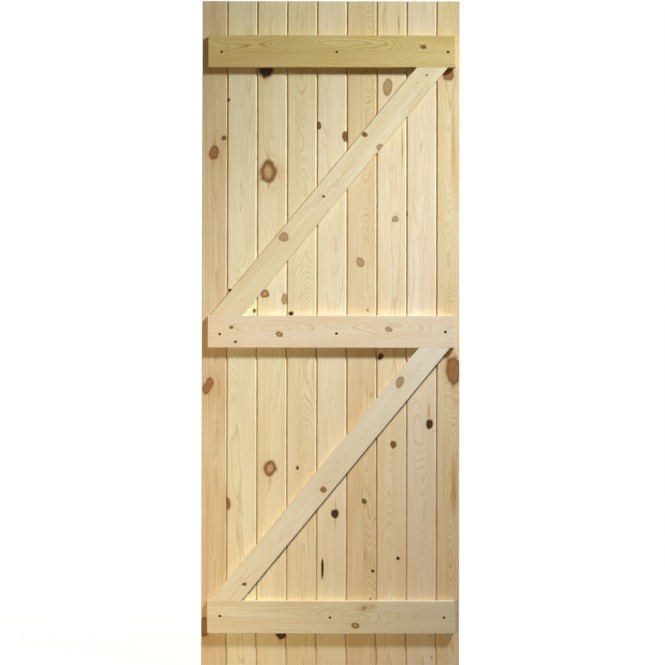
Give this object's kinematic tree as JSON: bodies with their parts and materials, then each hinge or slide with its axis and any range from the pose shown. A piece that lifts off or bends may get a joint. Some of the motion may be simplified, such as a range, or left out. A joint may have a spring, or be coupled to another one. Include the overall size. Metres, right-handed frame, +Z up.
{
  "type": "ledged and braced gate",
  "caption": "Gate leaf of upright tongued, grooved and V-jointed pine boards on three ledges, with a brace rising from the hinge edge in each bay.",
  "frame": {"origin": "centre of the bounding box at the bottom edge of the leaf", "axes": "+X from the hinge edge to the latch edge, +Y from the ledge side to the board side, +Z up"},
  "size_m": [0.762, 0.0325, 1.981],
  "materials": {
    "board_pine": "planed, unfinished knotty pine",
    "ledge_pine": "planed, unfinished knotty pine",
    "brace_pine": "planed, unfinished knotty pine",
    "screw_steel": "black phosphated steel",
    "nail_steel": "bright drawn steel wire"
  },
  "bodies": {
    "root": {"board_1": "board_pine", "board_2": "board_pine", "board_3": "board_pine", "board_4": "board_pine", "board_5": "board_pine", "board_6": "board_pine", "board_7": "board_pine", "board_8": "board_pine", "board_9": "board_pine", "top_ledge": "ledge_pine", "middle_ledge": "ledge_pine", "bottom_ledge": "ledge_pine", "upper_brace": "brace_pine", "lower_brace": "brace_pine", "top_ledge_screws": "screw_steel", "middle_ledge_screws": "screw_steel", "bottom_ledge_screws": "screw_steel", "upper_brace_brads": "nail_steel", "lower_brace_brads": "nail_steel", "top_ledge_nails": "nail_steel", "middle_ledge_nails": "nail_steel", "bottom_ledge_nails": "nail_steel", "upper_brace_nails": "nail_steel", "lower_brace_nails": "nail_steel"}
  },
  "joints": []
}
